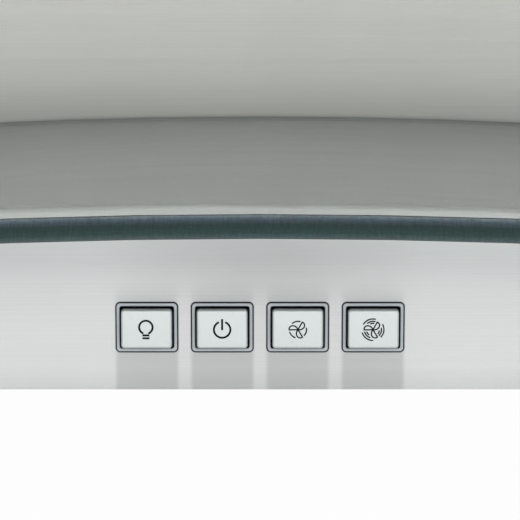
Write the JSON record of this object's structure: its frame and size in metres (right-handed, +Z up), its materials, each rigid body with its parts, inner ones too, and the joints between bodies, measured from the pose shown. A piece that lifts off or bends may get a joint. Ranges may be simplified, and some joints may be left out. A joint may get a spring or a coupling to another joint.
{
  "type": "curved glass range hood",
  "caption": "Wall range hood with an arched glass canopy, folded steel body, push-buttons, hinged grease filters, blower, damper and telescoping flue.",
  "frame": {"origin": "on the wall, at the middle of the lower edge of the steel body", "axes": "+X to the right of a person facing the hood, +Y into the wall, +Z up"},
  "size_m": [0.76, 0.5, 0.75],
  "materials": {
    "steel": "horizontally brushed",
    "inner_steel": "satin sheet",
    "deck_coat": "satin grey coat",
    "glass": "clear tempered, dark green edge",
    "rubber": "matt black",
    "screw": "plain bright",
    "button_frame": "satin blue grey",
    "button": "satin silver",
    "moulding": "moulded black",
    "board": "solder resist",
    "chrome": "polished",
    "lens": "frosted",
    "aluminium": "natural",
    "motor": "satin grey"
  },
  "bodies": {
    "hood": {"bay_bar": "inner_steel", "blower_box": "inner_steel", "box_rail": "inner_steel", "button_frame_1": "button_frame", "button_frame_2": "button_frame", "button_frame_3": "button_frame", "button_frame_4": "button_frame", "cable_gland": "moulding", "control_board": "board", "damper_pin": "screw", "duct_collar": "inner_steel", "end_panel_left": "steel", "end_panel_right": "steel", "flue_cleats": "inner_steel", "front_panel": "steel", "glass_canopy": "glass", "glass_nuts": "screw", "glass_pads": "rubber", "glass_screws": "screw", "glass_washers": "rubber", "housing_screws": "screw", "lamp_bezels": "chrome", "lamp_bodies": "aluminium", "lamp_lenses": "lens", "lower_flue": "steel", "motor": "motor", "motor_bracket": "inner_steel", "rear_panel": "inner_steel", "scroll_left": "moulding", "scroll_right": "moulding", "switch_housing": "moulding", "tact_switches": "moulding", "terminal_box": "moulding", "terminal_lid": "moulding", "top_deck": "deck_coat", "underside_pan": "inner_steel", "wall_bracket": "inner_steel"},
    "light_button": {"button_light": "button"},
    "power_button": {"button_power": "button"},
    "low_button": {"button_low": "button"},
    "high_button": {"button_high": "button"},
    "wheel": {"impeller": "moulding", "motor_shaft": "screw"},
    "flap_front": {"damper_flap_front": "moulding"},
    "flap_rear": {"damper_flap_rear": "moulding"},
    "filter_left": {"filter_frame_left": "aluminium", "filter_mesh_left": "aluminium", "latch_spring_left": "screw"},
    "filter_right": {"filter_frame_right": "aluminium", "filter_mesh_right": "aluminium", "latch_spring_right": "screw"},
    "latch_left": {"filter_latch_left": "chrome"},
    "latch_right": {"filter_latch_right": "chrome"},
    "upper_chimney": {"upper_flue": "steel", "flue_bracket": "inner_steel", "flue_screws": "screw"}
  },
  "joints": [
    {"name": "light_press", "type": "slide", "parent": "hood", "child": "light_button", "axis": [0, 1, 0], "range_m": [0, 0.0015], "stiffness_N_per_m": 400, "springref_m": -0.0004},
    {"name": "power_press", "type": "slide", "parent": "hood", "child": "power_button", "axis": [0, 1, 0], "range_m": [0, 0.0015], "stiffness_N_per_m": 400, "springref_m": -0.0004},
    {"name": "low_press", "type": "slide", "parent": "hood", "child": "low_button", "axis": [0, 1, 0], "range_m": [0, 0.0015], "stiffness_N_per_m": 400, "springref_m": -0.0004},
    {"name": "high_press", "type": "slide", "parent": "hood", "child": "high_button", "axis": [0, 1, 0], "range_m": [0, 0.0015], "stiffness_N_per_m": 400, "springref_m": -0.0004},
    {"name": "wheel_spin", "type": "hinge", "parent": "hood", "child": "wheel", "pos_m": [0, -0.168, 0.166], "axis": [1, 0, 0], "continuous": true},
    {"name": "flap_front_swing", "type": "hinge", "parent": "hood", "child": "flap_front", "pos_m": [0, -0.116, 0.28], "axis": [-1, 0, 0], "range_deg": [0, 75]},
    {"name": "flap_rear_swing", "type": "hinge", "parent": "hood", "child": "flap_rear", "pos_m": [0, -0.116, 0.28], "axis": [1, 0, 0], "range_deg": [0, 75]},
    {"name": "filter_left_drop", "type": "hinge", "parent": "hood", "child": "filter_left", "pos_m": [0, -0.051, 0.0022], "axis": [1, 0, 0], "range_deg": [0, 50]},
    {"name": "latch_left_slide", "type": "slide", "parent": "filter_left", "child": "latch_left", "axis": [0, 1, 0], "range_m": [0, 0.0055], "stiffness_N_per_m": 300, "springref_m": -0.001, "deforming": ["latch_spring_left"]},
    {"name": "filter_right_drop", "type": "hinge", "parent": "hood", "child": "filter_right", "pos_m": [0, -0.051, 0.0022], "axis": [1, 0, 0], "range_deg": [0, 50]},
    {"name": "latch_right_slide", "type": "slide", "parent": "filter_right", "child": "latch_right", "axis": [0, 1, 0], "range_m": [0, 0.0055], "stiffness_N_per_m": 300, "springref_m": -0.001, "deforming": ["latch_spring_right"]},
    {"name": "upper_chimney_slide", "type": "slide", "parent": "hood", "child": "upper_chimney", "axis": [0, 0, 1], "range_m": [-0.24, 0.06]}
  ]
}
